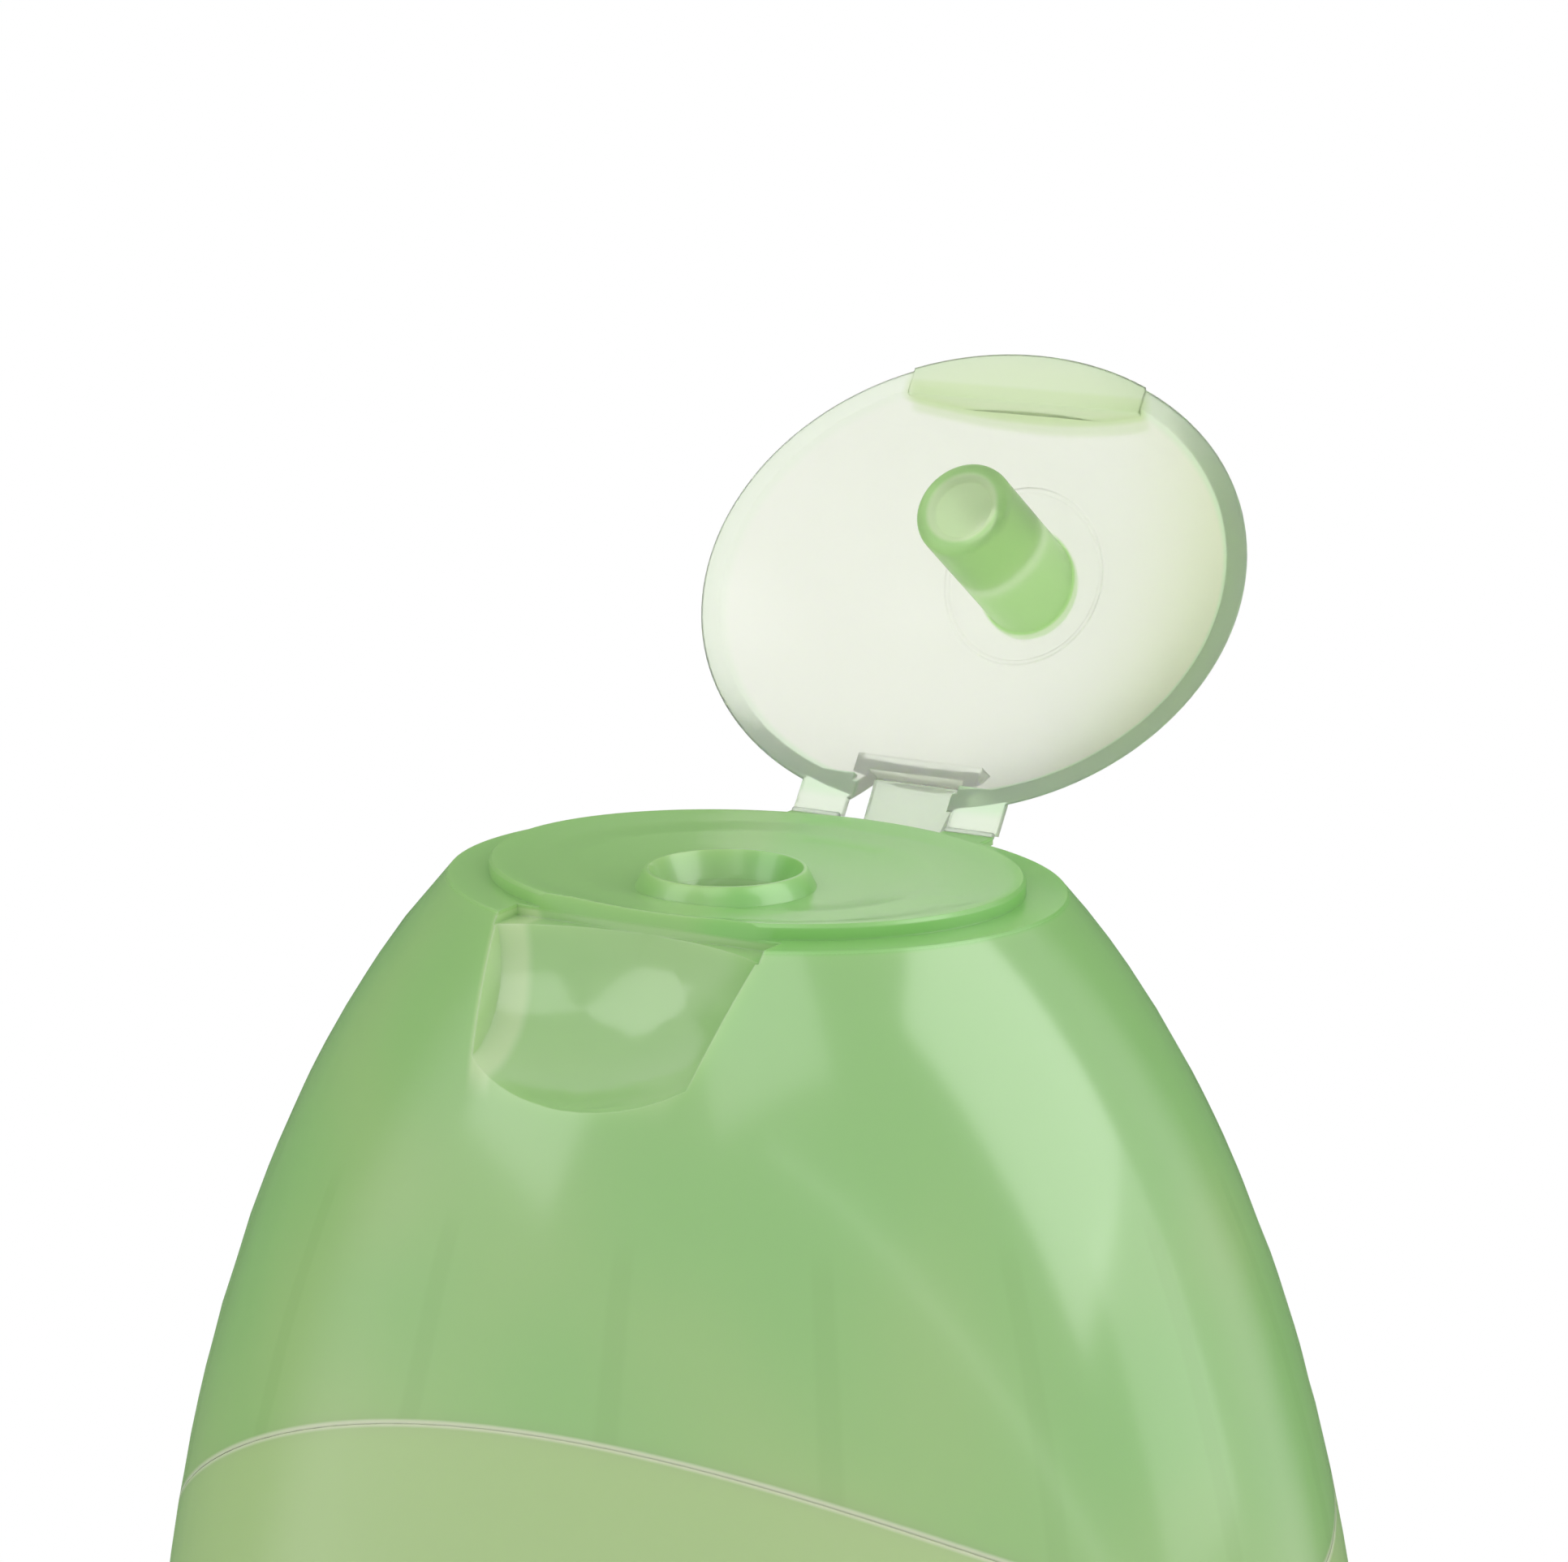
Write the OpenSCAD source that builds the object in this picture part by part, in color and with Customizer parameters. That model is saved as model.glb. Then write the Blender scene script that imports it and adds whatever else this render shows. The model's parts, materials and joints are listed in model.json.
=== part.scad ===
// Body wash bottle with a domed cap pressed on its neck and a flip lid, standing open.
// All sizes in millimetres, +Z up, the bottle stands on Z = 0 and its front faces -Y.
// The lid is drawn open; its closed place is found by turning it back by lid_open.

/* [Bottle] */
// Largest width of the bottle
body_w = 82.2; // [76:0.2:90]
// Depth of every oval as a share of its width
oval = 0.84; // [0.8:0.01:0.9]
// Height of the widest level above the floor
widest_z = 100; // [80:1:120]
// Height of the full dome ellipse above the widest level
dome_h = 78.1; // [76:0.1:82]
// Half height of the ellipse below the widest level
lower_h = 170; // [150:1:200]
// Rounding where the wall meets the floor
heel_r = 7; // [4:0.5:9]
// Depth of the hollow under the floor
push_up = 2.5; // [1:0.5:4]
// Wall thickness of the blown bottle
bottle_wall = 1.2; // [0.8:0.1:1.6]

/* [Neck and shoulder] */
// Outside radius of the neck
neck_r = 11; // [10:0.5:11.5]
// Wall thickness of the neck
neck_wall = 1.6; // [1.2:0.1:2]
// How far the neck mouth lies under the ledge
neck_drop = 4.5; // [4.2:0.1:6]
// How far the round shoulder top lies under the ledge
shoulder_drop = 16; // [15:0.5:18]
// Height of the rounded part of the shoulder
shoulder_h = 20.3; // [18:0.1:22]
// How far the shoulder lies inside the body
shoulder_in = 6.9; // [6.8:0.1:7.5]
// Standing-out bead that holds the cap on the neck
bead = 0.7; // [0.4:0.1:0.9]

/* [Cap] */
// Half width of the ledge the lid closes on
ledge_a = 20; // [19:0.1:21]
// Wall thickness of the cap
cap_wall = 1.6; // [1.2:0.1:1.8]
// Thickness of the deck plate
deck_t = 1.6; // [1.2:0.1:2]
// Height of the raised deck over the ledge
deck_rise = 0.95; // [0.6:0.05:1.2]
// Width of the ledge around the raised deck
ledge_w = 2.55; // [2.2:0.05:2.8]
// Depth of the dish in the deck
dish_d = 0.6; // [0.4:0.05:0.9]
// Highest point of the arched parting line, under the ledge
seam_drop = 26.9; // [24:0.1:30]
// Radius of the parting line arch
seam_r = 53.3; // [50:0.1:60]
// Sideways place of the top of the arch
seam_x = 3.6; // [0:0.1:5]
// Gap between cap edge and bottle at the parting line
seam_gap = 0.1; // [0.1:0.05:0.5]
// Number of upright ribs that centre the cap on the shoulder
rib_count = 16; // [12:4:20]
// Height of the rib off the inner wall
rib_h = 1; // [0.6:0.1:1.2]
// Rib thickness
rib_t = 0.9; // [0.7:0.1:1.2]

/* [Pouring mouth] */
// Distance of the pouring hole in front of the middle
mouth_y = 3.6; // [2.5:0.1:4.5]
// Radius of the pouring hole
bore_r = 3.75; // [3.7:0.05:4]
// Radius of the flared top of the hole
flare_r = 4.8; // [4.4:0.1:5]
// Height of the collar over the ledge
collar_z = 1.5; // [1.3:0.05:1.8]
// Radius of the collar foot
collar_r = 5.7; // [5.4:0.1:6]
// Depth of the hole tube under the ledge
bore_d = 4; // [3.8:0.1:4.2]

/* [Thumb scoop] */
// Half width of the scoop at the ledge
scoop_a = 9.3; // [8.5:0.1:10]
// Half width between the scoop's leaning sides at its lowest point
scoop_foot_a = 7; // [6.5:0.1:8]
// Distance of the straight step behind the scoop from the middle
step_y = 12.8; // [12.6:0.1:13.1]
// Drop of the step floor under the ledge
step_drop = 0.7; // [0.5:0.1:1]
// Lowest point of the scoop under the ledge
scoop_drop = 9.2; // [8:0.1:10]

/* [Lid] */
// Angle the lid stands open, from closed
lid_open = 124.7; // [110:0.1:130]
// Wall thickness of the lid
lid_wall = 1.05; // [0.9:0.05:1.2]
// Gap between closed lid and ledge
lid_gap = 0.25; // [0.2:0.05:0.4]
// Half width of the thumb lip
lip_a = 8.7; // [8:0.1:8.9]
// How far the thumb lip hangs under the rim of the lid
lip_drop = 0.15; // [0.1:0.05:0.5]
// Gap between the pocket wall inside the lid and the raised deck
pocket_gap = 0.3; // [0.2:0.05:0.5]
// Gap between thumb lip and step
lip_gap = 0.35; // [0.3:0.05:0.5]
// Height of the thicker front wall over the thumb lip
lip_h = 2; // [1.5:0.1:2.5]
// Radius of the plug
plug_r = 3.4; // [3.2:0.05:3.4]
// How far the plug tip reaches under the ledge
plug_drop = 3.4; // [2.8:0.1:3.8]
// Wall of the plug around its hollow tip
plug_wall = 1.1; // [0.9:0.05:1.3]
// Depth of the hollow in the plug tip
plug_hollow = 0.4; // [0.3:0.1:3]
// Rounding of the plug tip
tip_r = 0.6; // [0.4:0.1:0.7]
// Radius of the fine ring on the lid ceiling
ring_r = 5.73; // [5.5:0.01:6]
// Height of the fine ring
ring_h = 0.15; // [0.1:0.05:0.3]

/* [Hinge] */
// Distance of the hinge line behind the ledge edge
hinge_out = 0.73; // [0.6:0.01:0.9]
// Height of the hinge line over the ledge
hinge_z = 0.1; // [0.05:0.01:0.15]
// Inner edge of each side strap
strap_in = 3.9; // [3.7:0.1:4.2]
// Width of each side strap
strap_w = 3.6; // [3:0.1:4]
// Strap thickness
strap_t = 0.5; // [0.4:0.05:0.6]
// Gap between the two halves of a strap at the fold
fold_gap = 0.15; // [0.13:0.01:0.2]
// Width of the spring flap at the lid
flap_top_w = 6.4; // [6:0.1:6.6]
// Width of the spring flap at the cap
flap_foot_w = 5.2; // [4.8:0.1:5.8]
// Thickness of the spring flap
flap_t = 0.6; // [0.5:0.05:0.7]
// Clear gap around the spring flap
flap_gap = 0.35; // [0.3:0.05:0.45]
// Drop of the lower flap fold under the ledge
flap_drop = 2.6; // [2.4:0.1:2.8]
// Height of the upper flap fold over the ledge, lid closed
flap_rise = 2.2; // [2:0.1:2.4]
// Distance of the upper flap fold in front of the hinge line
flap_back = 3.23; // [3:0.01:3.4]

/* [Hidden] */
half_w = body_w / 2;
half_d = half_w * oval;
ledge_share = sqrt(1 - pow(ledge_a / half_w, 2));
ledge_z = widest_z + dome_h * ledge_share;
ledge_b = ledge_a * oval;
seam_z = ledge_z - seam_drop;
hinge_y = ledge_b + hinge_out;
deck_a = ledge_a - ledge_w;
deck_b = ledge_b - ledge_w;
// Upper fold from the hinge line, lid closed, and its turn when the lid opens
fold_len = norm([flap_back, flap_rise - hinge_z]);
fold_shut = atan2(flap_rise - hinge_z, -flap_back);
fold_mid = fold_shut - lid_open / 2;
// The lower fold lies on the line that halves the turn, so the flap is as long open as shut
foot_s = (-flap_drop - hinge_z) / sin(fold_mid);
foot_y = hinge_y + foot_s * cos(fold_mid);
flap_dy = fold_len * cos(fold_shut) - foot_s * cos(fold_mid);
flap_dz = flap_rise + flap_drop;
flap_len = norm([flap_dy, flap_dz]);
flap_shut = atan2(flap_dz, flap_dy);
flap_stand = 2 * fold_mid - flap_shut;
pocket_y = hinge_y - flap_back - flap_t / 2 - flap_gap;
skirt_gap = 0.3;
skirt_t = 1.4;
flap_room = flap_t / 2 + flap_gap;
scoop_z = 1;
scoop_y = half_d * sqrt(1 - pow((ledge_z - scoop_drop - widest_z) / dome_h, 2));
scoop_h = scoop_drop + scoop_z;
scoop_w = 1.5 * scoop_a;
scoop_d = (scoop_y - step_y) / sqrt(1 - pow((scoop_z + step_drop) / scoop_h, 2));
cut = 60;
facets = 72;

function wall_half(z) = half_w * sqrt(1 - pow((widest_z - z) / lower_h, 2));

// Outline that rounds the foot of the body, moved in by inset; it opens out above the heel.
// It reaches 1 mm too low, so that the flat floor comes from one plane in body_solid
module heel_half(inset) {
    lean = atan(pow(half_w / lower_h, 2) * (widest_z - heel_r) / wall_half(heel_r));
    heel_x = wall_half(heel_r * (1 - sin(lean))) - heel_r * cos(lean);
    r = heel_r - inset;
    last = -lean - 6;
    steps = 6;
    polygon(concat(
        [[0, inset - 1], [heel_x, inset - 1]],
        [for (i = [0:steps]) let (t = -90 + i * (90 + last) / steps) [heel_x + r * cos(t), heel_r + r * sin(t)]],
        [[heel_x + r * cos(last) - 3 * cut * sin(last), heel_r + r * sin(last) + 3 * cut * cos(last)]],
        [[0, heel_r + r * sin(last) + 3 * cut * cos(last)]]
    ));
}

module body_solid(inset) {
    w = half_w - inset;
    d = half_d - inset;
    intersection() {
        union() {
            intersection() {
                translate([0, 0, widest_z]) scale([1, d / w, (lower_h - inset) / w]) sphere(r = w, $fn = facets);
                translate([-cut, -cut, inset]) cube([2 * cut, 2 * cut, widest_z - inset]);
            }
            intersection() {
                dome_solid(inset);
                translate([-cut, -cut, widest_z]) cube([2 * cut, 2 * cut, cut]);
            }
        }
        scale([1, d / w, 1]) rotate_extrude($fn = facets) heel_half(inset);
    }
}

// The dome alone, one clean ellipsoid about the widest level
module dome_solid(inset) {
    translate([0, 0, widest_z])
        scale([1, (half_d - inset) / (half_w - inset), (dome_h - inset) / (half_w - inset)])
            sphere(r = half_w - inset, $fn = facets);
}

// Everything under the arched parting line, lowered by drop
module under_arch(drop) {
    rotate([90, 0, 0])
        linear_extrude(height = 2 * cut, center = true) {
            translate([seam_x, seam_z - seam_r]) circle(r = seam_r - drop, $fn = 2 * facets);
            translate([seam_x - seam_r + drop, -cut])
                square([2 * (seam_r - drop), cut + seam_z - seam_r]);
        }
}

// Rounded shoulder that the cap slides over, moved in by inset
module shoulder(inset) {
    w = half_w - shoulder_in - inset;
    d = half_d - shoulder_in - inset;
    translate([0, 0, ledge_z - shoulder_drop - shoulder_h]) {
        intersection() {
            scale([1, d / w, (shoulder_h - inset) / w]) sphere(r = w, $fn = facets);
            translate([-cut, -cut, 0]) cube([2 * cut, 2 * cut, cut]);
        }
        translate([0, 0, -14]) scale([1, d / w, 1]) cylinder(r = w, h = 14, $fn = facets);
    }
}

// Shallow bowl pressed up into the floor, leaving a standing rim
module floor_bowl(grow) {
    bowl_a = wall_half(heel_r) - heel_r - 2;
    scale([1, oval, (push_up + grow) / (bowl_a + grow)])
        sphere(r = bowl_a + grow, $fn = facets);
}

module bottle() {
    neck_top = ledge_z - neck_drop;
    neck_foot = ledge_z - shoulder_drop - 4;
    color([0.66, 0.8, 0.53]) difference() {
        union() {
            intersection() {
                body_solid(0);
                under_arch(0);
            }
            shoulder(0);
            translate([0, 0, neck_foot]) cylinder(r = neck_r, h = neck_top - neck_foot, $fn = facets);
            translate([0, 0, neck_top - 3]) cylinder(r1 = neck_r + bead, r2 = neck_r, h = 1.6, $fn = facets);
            translate([0, 0, neck_top - 3.6]) cylinder(r1 = neck_r, r2 = neck_r + bead, h = 0.6, $fn = facets);
        }
        difference() {
            intersection() {
                body_solid(bottle_wall);
                under_arch(bottle_wall);
            }
            floor_bowl(bottle_wall);
        }
        shoulder(bottle_wall);
        translate([0, 0, neck_foot - 2]) cylinder(r = neck_r - neck_wall, h = 30, $fn = facets);
        floor_bowl(0);
    }
}

// Hollow for the thumb, grown on every side by grow
module scoop(grow) {
    intersection() {
        translate([0, -scoop_y, ledge_z + scoop_z])
            scale([(scoop_w + grow) / (scoop_h + grow), (scoop_d + grow) / (scoop_h + grow), 1])
                sphere(r = scoop_h + grow, $fn = facets);
        translate([0, 0, ledge_z])
            rotate([90, 0, 0])
                linear_extrude(height = cut)
                    polygon([
                        [-scoop_foot_a - grow, -scoop_drop - grow],
                        [scoop_foot_a + grow, -scoop_drop - grow],
                        [scoop_a + grow, 0],
                        [scoop_a + grow, cut],
                        [-scoop_a - grow, cut],
                        [-scoop_a - grow, 0]
                    ]);
    }
}

// Slot that the spring flap folds into, grown by grow
module flap_slot(grow) {
    half = flap_top_w / 2 + flap_gap + grow;
    translate([0, foot_y, ledge_z - flap_drop])
        rotate([flap_shut, 0, 0])
            translate([-half, -flap_room - grow, -8])
                cube([2 * half, flap_len + 2 * grow, 8 + flap_room + grow]);
}

module strap(y0, y1, z0) {
    for (side = [0, 1])
        mirror([side, 0, 0])
            translate([strap_in, y0, z0]) cube([strap_w, y1 - y0, strap_t]);
}

module deck() {
    translate([0, 0, ledge_z])
        scale([1, deck_b / deck_a, 1])
            rotate_extrude($fn = facets)
                polygon([
                    [0, -0.2],
                    [deck_a, -0.2],
                    [deck_a, deck_rise - 0.2],
                    [deck_a - 0.2, deck_rise],
                    [deck_a - 0.9, deck_rise],
                    [deck_a - 2.1, deck_rise - 0.45 * dish_d],
                    [0.67 * deck_a, deck_rise - 0.6 * dish_d],
                    [0.6 * deck_a, deck_rise - dish_d],
                    [0, deck_rise - dish_d]
                ]);
}

// Collar, flared mouth and tube round the pouring hole
module mouth() {
    translate([0, -mouth_y, ledge_z])
        rotate_extrude($fn = facets)
            polygon([
                [bore_r, -bore_d],
                [bore_r + 1, -bore_d],
                [bore_r + 1.3, -1],
                [collar_r, 0.2],
                [flare_r + 0.35, collar_z - 0.15],
                [flare_r + 0.2, collar_z],
                [flare_r, collar_z],
                [bore_r, -0.6]
            ]);
}

// Round skirt inside the cap, with the bead that snaps under the neck bead
module skirt() {
    inner = neck_r + bead + skirt_gap;
    translate([0, 0, ledge_z])
        rotate_extrude($fn = facets)
            polygon([
                [inner, -deck_t + 0.2],
                [inner, -neck_drop - 3.9],
                [neck_r + skirt_gap, -neck_drop - 4.4],
                [neck_r + skirt_gap, -neck_drop - 5],
                [inner, -neck_drop - 5.8],
                [inner + 0.2, -neck_drop - 6.2],
                [inner + skirt_t, -neck_drop - 6.2],
                [inner + skirt_t, -deck_t + 0.2]
            ]);
}

// Upright ribs on the inner wall, just over the parting line
module ribs() {
    difference() {
        intersection() {
            for (i = [0:rib_count / 2 - 1])
                translate([0, 0, ledge_z - 30])
                    rotate([0, 0, (i + 0.5) * 360 / rib_count])
                        cube([2 * cut, rib_t, 30], center = true);
            dome_solid(cap_wall / 2);
        }
        dome_solid(cap_wall + rib_h);
    }
}

module cap() {
    color([0.58, 0.75, 0.49]) difference() {
        union() {
            difference() {
                dome_solid(0);
                translate([-cut, -cut, ledge_z]) cube([2 * cut, 2 * cut, cut]);
                difference() {
                    dome_solid(cap_wall);
                    translate([-cut, -cut, ledge_z - deck_t]) cube([2 * cut, 2 * cut, cut]);
                    scoop(cap_wall);
                    flap_slot(1.2);
                }
            }
            ribs();
            skirt();
            deck();
            translate([0, 0, ledge_z]) strap(ledge_b - 1.8, hinge_y - fold_gap, -strap_t);
        }
        under_arch(-seam_gap);
        translate([0, -mouth_y, ledge_z - bore_d]) cylinder(r = bore_r + 0.6, h = 3 * bore_d, $fn = facets);
        translate([-scoop_a, -cut, ledge_z - step_drop]) cube([2 * scoop_a, cut - step_y, cut]);
        scoop(0);
        flap_slot(0);
    }
    color([0.58, 0.75, 0.49]) mouth();
}

// The closed lid as a solid that carries on the dome, with the ledge at Z = 0
module lid_solid(inset, foot) {
    intersection() {
        translate([0, 0, -ledge_z]) dome_solid(inset);
        translate([-cut, -cut, foot]) cube([2 * cut, 2 * cut, cut]);
    }
}

// Plug that stands under the ceiling, over the pouring hole
module plug() {
    translate([0, -mouth_y, 0])
        rotate_extrude($fn = facets)
            polygon([
                [0, 2 * ledge_a],
                [0, plug_hollow - plug_drop],
                [plug_r - plug_wall - 0.3, plug_hollow - plug_drop],
                [plug_r - plug_wall, 0.1 - plug_drop],
                [plug_r - plug_wall + 0.2, -plug_drop],
                [plug_r - tip_r, -plug_drop],
                [plug_r - 0.62 * tip_r, 0.08 * tip_r - plug_drop],
                [plug_r - 0.3 * tip_r, 0.3 * tip_r - plug_drop],
                [plug_r - 0.08 * tip_r, 0.62 * tip_r - plug_drop],
                [plug_r, tip_r - plug_drop],
                [plug_r, 2 * ledge_a]
            ]);
}

// Fine raised ring round the foot of the plug
module ceiling_ring() {
    difference() {
        translate([0, -mouth_y, 1]) cylinder(r = ring_r + 0.15, h = ledge_a, $fn = facets);
        translate([0, -mouth_y, 0]) cylinder(r = ring_r - 0.15, h = 2 * ledge_a, $fn = facets);
        lid_solid(lid_wall + ring_h, -1);
    }
}

// The lid as it lies closed, with the ledge at Z = 0
module lid_shut() {
    lip_y = step_y + lip_gap;
    slot_half = flap_top_w / 2 + flap_gap;
    slot_top = flap_rise + flap_room;
    difference() {
        union() {
            lid_solid(0, lid_gap);
            intersection() {
                lid_solid(0, lid_gap - lip_drop);
                translate([-lip_a, -cut - lip_y, -cut]) cube([2 * lip_a, cut, 2 * cut]);
            }
            strap(ledge_b - 2.4, hinge_y - fold_gap, lid_gap);
        }
        difference() {
            lid_solid(lid_wall, -1);
            translate([-lip_a, -cut - lip_y, -cut]) cube([2 * lip_a, cut, cut + lip_h]);
            translate([-slot_half - lid_wall, pocket_y - lid_wall, deck_rise + pocket_gap])
                cube([2 * (slot_half + lid_wall), cut, slot_top + lid_wall - deck_rise - pocket_gap]);
            translate([0, 0, lid_gap]) strap(ledge_b - 2.4, hinge_y, 0);
        }
        translate([-slot_half, pocket_y, -1]) cube([2 * slot_half, cut, slot_top + 1]);
    }
    intersection() {
        lid_solid(lid_wall / 2, -cut / 2);
        union() {
            plug();
            ceiling_ring();
        }
    }
}

module lid() {
    color([0.92, 0.95, 0.87])
        translate([0, hinge_y, ledge_z + hinge_z])
            rotate([-lid_open, 0, 0])
                translate([0, -hinge_y, -hinge_z]) lid_shut();
}

module spring_flap() {
    color([0.8, 0.88, 0.76])
        translate([0, foot_y, ledge_z - flap_drop])
            rotate([flap_stand, 0, 0]) {
                translate([0, 0, -flap_t / 2])
                    linear_extrude(height = flap_t)
                        polygon([
                            [-flap_foot_w / 2, 0],
                            [flap_foot_w / 2, 0],
                            [flap_top_w / 2, flap_len],
                            [-flap_top_w / 2, flap_len]
                        ]);
                translate([-flap_foot_w / 2, 0, 0])
                    rotate([0, 90, 0]) cylinder(r = flap_t / 2, h = flap_foot_w, $fn = 24);
                translate([-flap_top_w / 2, flap_len, 0])
                    rotate([0, 90, 0]) cylinder(r = flap_t / 2, h = flap_top_w, $fn = 24);
            }
}

bottle();
cap();
lid();
spring_flap();
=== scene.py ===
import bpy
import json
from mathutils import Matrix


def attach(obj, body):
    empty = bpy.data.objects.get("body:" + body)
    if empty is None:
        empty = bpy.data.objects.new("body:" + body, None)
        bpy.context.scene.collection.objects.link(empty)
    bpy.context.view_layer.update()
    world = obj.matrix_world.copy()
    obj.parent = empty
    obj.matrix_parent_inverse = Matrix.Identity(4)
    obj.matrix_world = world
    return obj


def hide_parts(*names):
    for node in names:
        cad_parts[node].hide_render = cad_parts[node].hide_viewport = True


bl_info = {
    "name": "Body Wash Bottle",
    "version": (1, 0, 0),
    "blender": (4, 5, 0),
    "location": "View3D > Sidebar > Bottle",
    "description": "Finishes, hinge films and studio for a body wash bottle with a flip lid",
    "category": "Object",
}

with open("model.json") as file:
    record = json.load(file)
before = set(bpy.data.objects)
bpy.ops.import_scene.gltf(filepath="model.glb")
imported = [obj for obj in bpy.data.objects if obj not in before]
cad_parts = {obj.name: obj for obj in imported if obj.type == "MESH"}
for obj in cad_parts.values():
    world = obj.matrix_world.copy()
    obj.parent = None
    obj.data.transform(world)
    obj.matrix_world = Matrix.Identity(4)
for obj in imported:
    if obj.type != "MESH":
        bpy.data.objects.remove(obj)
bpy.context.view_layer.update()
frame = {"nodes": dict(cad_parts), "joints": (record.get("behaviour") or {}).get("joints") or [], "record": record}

import json
import math

import bmesh
import bpy
from mathutils import Matrix, Vector

MM = 0.001
ON_SHELL = 0.012 * MM
LID_HINGE = next(j for j in frame["joints"] if j["name"] == "lid_hinge")
FLAP_HINGE = next(j for j in frame["joints"] if j["name"] == "flap_hinge")
HINGE_LINE = Vector(LID_HINGE["pos_m"])
FLAP_FOOT = Vector(FLAP_HINGE["pos_m"])
LID_OPEN = math.radians(LID_HINGE["range_deg"][1])
LEDGE_Z = HINGE_LINE.z - 0.1 * MM


# Shader tools

class Number:
    """A number socket that takes Python's own signs and adds Math nodes for them."""

    def __init__(self, finish, socket):
        self.finish = finish
        self.socket = socket

    def __add__(self, other):
        return self.finish.maths("ADD", self, other)

    __radd__ = __add__

    def __sub__(self, other):
        return self.finish.maths("SUBTRACT", self, other)

    def __rsub__(self, other):
        return self.finish.maths("SUBTRACT", other, self)

    def __mul__(self, other):
        return self.finish.maths("MULTIPLY", self, other)

    __rmul__ = __mul__

    def __truediv__(self, other):
        return self.finish.maths("DIVIDE", self, other)

    def __neg__(self):
        return self.finish.maths("MULTIPLY", self, -1.0)


class Finish:
    """The nodes of one material."""

    def __init__(self, name):
        self.material = bpy.data.materials.new(name)
        self.material.use_nodes = True
        self.tree = self.material.node_tree
        self.tree.nodes.clear()
        self.place = None

    def node(self, kind, settings=None, inputs=None):
        """A node of that type, its settings made first, then the values or links of its sockets."""
        made = self.tree.nodes.new(kind)
        for key, value in (settings or {}).items():
            if key == "stops":
                ramp = made.color_ramp
                while len(ramp.elements) > 1:
                    ramp.elements.remove(ramp.elements[-1])
                ramp.elements[0].position = value[0][0]
                ramp.elements[0].color = value[0][1]
                for position, colour in value[1:]:
                    ramp.elements.new(position).color = colour
            else:
                setattr(made, key, value)
        for key, value in (inputs or {}).items():
            if isinstance(value, Number):
                value = value.socket
            if isinstance(value, bpy.types.NodeSocket):
                self.tree.links.new(value, made.inputs[key])
            else:
                made.inputs[key].default_value = value
        return made

    def maths(self, operation, *values, clamp=False):
        settings = {"operation": operation, "use_clamp": clamp}
        made = self.node("ShaderNodeMath", settings, dict(enumerate(values)))
        return Number(self, made.outputs[0])

    def mix(self, share, one, two, blend="MIX"):
        """One colour turning into another as the share goes from 0 to 1."""
        settings = {"data_type": "RGBA", "blend_type": blend, "clamp_factor": True}
        made = self.node("ShaderNodeMix", settings, {0: share, 6: one, 7: two})
        return made.outputs[2]

    def step(self, value, low, high):
        """0 below low, 1 above high, and a smooth rise between them."""
        settings = {"interpolation_type": "SMOOTHSTEP", "clamp": True}
        made = self.node("ShaderNodeMapRange", settings, {0: value, 1: low, 2: high, 3: 0.0, 4: 1.0})
        return Number(self, made.outputs[0])

    def band(self, value, middle, half, soft):
        """1 within half of the middle, and 0 beyond it."""
        away = self.maths("ABSOLUTE", value - middle)
        return 1.0 - self.step(away, half, half + soft)

    def split(self, vector):
        parts = self.node("ShaderNodeSeparateXYZ", None, {0: vector})
        return [Number(self, socket) for socket in parts.outputs]

    def spot(self):
        """The place on the piece, in its own metres."""
        if self.place is None:
            self.place = self.node("ShaderNodeTexCoord").outputs["Object"]
        return self.place

    def moved(self, matrix):
        """The place on the piece after a turn and a shift."""
        location, turn, _ = matrix.decompose()
        inputs = {"Vector": self.spot(), "Location": location, "Rotation": turn.to_euler()}
        return self.node("ShaderNodeMapping", {"vector_type": "POINT"}, inputs).outputs[0]

    def noise(self, scale, detail=2.0, stretch=(1.0, 1.0, 1.0)):
        """Even noise from 0 to 1; scale is in features a metre."""
        inputs = {"Vector": self.spot(), "Scale": stretch}
        spot = self.node("ShaderNodeMapping", {"vector_type": "POINT"}, inputs).outputs[0]
        inputs = {"Vector": spot, "Scale": scale, "Detail": detail}
        made = self.node("ShaderNodeTexNoise", {"noise_dimensions": "3D"}, inputs)
        return Number(self, made.outputs[0])

    def bump(self, height, distance, strength=1.0, under=None):
        inputs = {"Height": height, "Distance": distance, "Strength": strength}
        if under is not None:
            inputs["Normal"] = under
        return self.node("ShaderNodeBump", None, inputs).outputs[0]

    def plastic(self, **sockets):
        """The shader and the output; every name is one of the shader's own sockets."""
        inputs = {key.replace("_", " "): value for key, value in sockets.items()}
        shader = self.node("ShaderNodeBsdfPrincipled", None, inputs)
        self.node("ShaderNodeOutputMaterial", None, {"Surface": shader.outputs[0]})
        return self.material


def from_screen(red, green, blue):
    """A colour as a screen writes it, from 0 to 255, as the shader's linear colour."""
    def linear(v):
        v /= 255
        return v / 12.92 if v <= 0.04045 else ((v + 0.055) / 1.055) ** 2.4
    return (linear(red), linear(green), linear(blue), 1.0)


def shut_from_open():
    """Turns the open lid's places back to where they lie when it is shut, with the ledge at zero."""
    back = Matrix.Rotation(LID_OPEN, 4, "X")
    return Matrix.Translation((0, HINGE_LINE.y, 0.1 * MM)) @ back @ Matrix.Translation(-HINGE_LINE)


# Pieces

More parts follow.
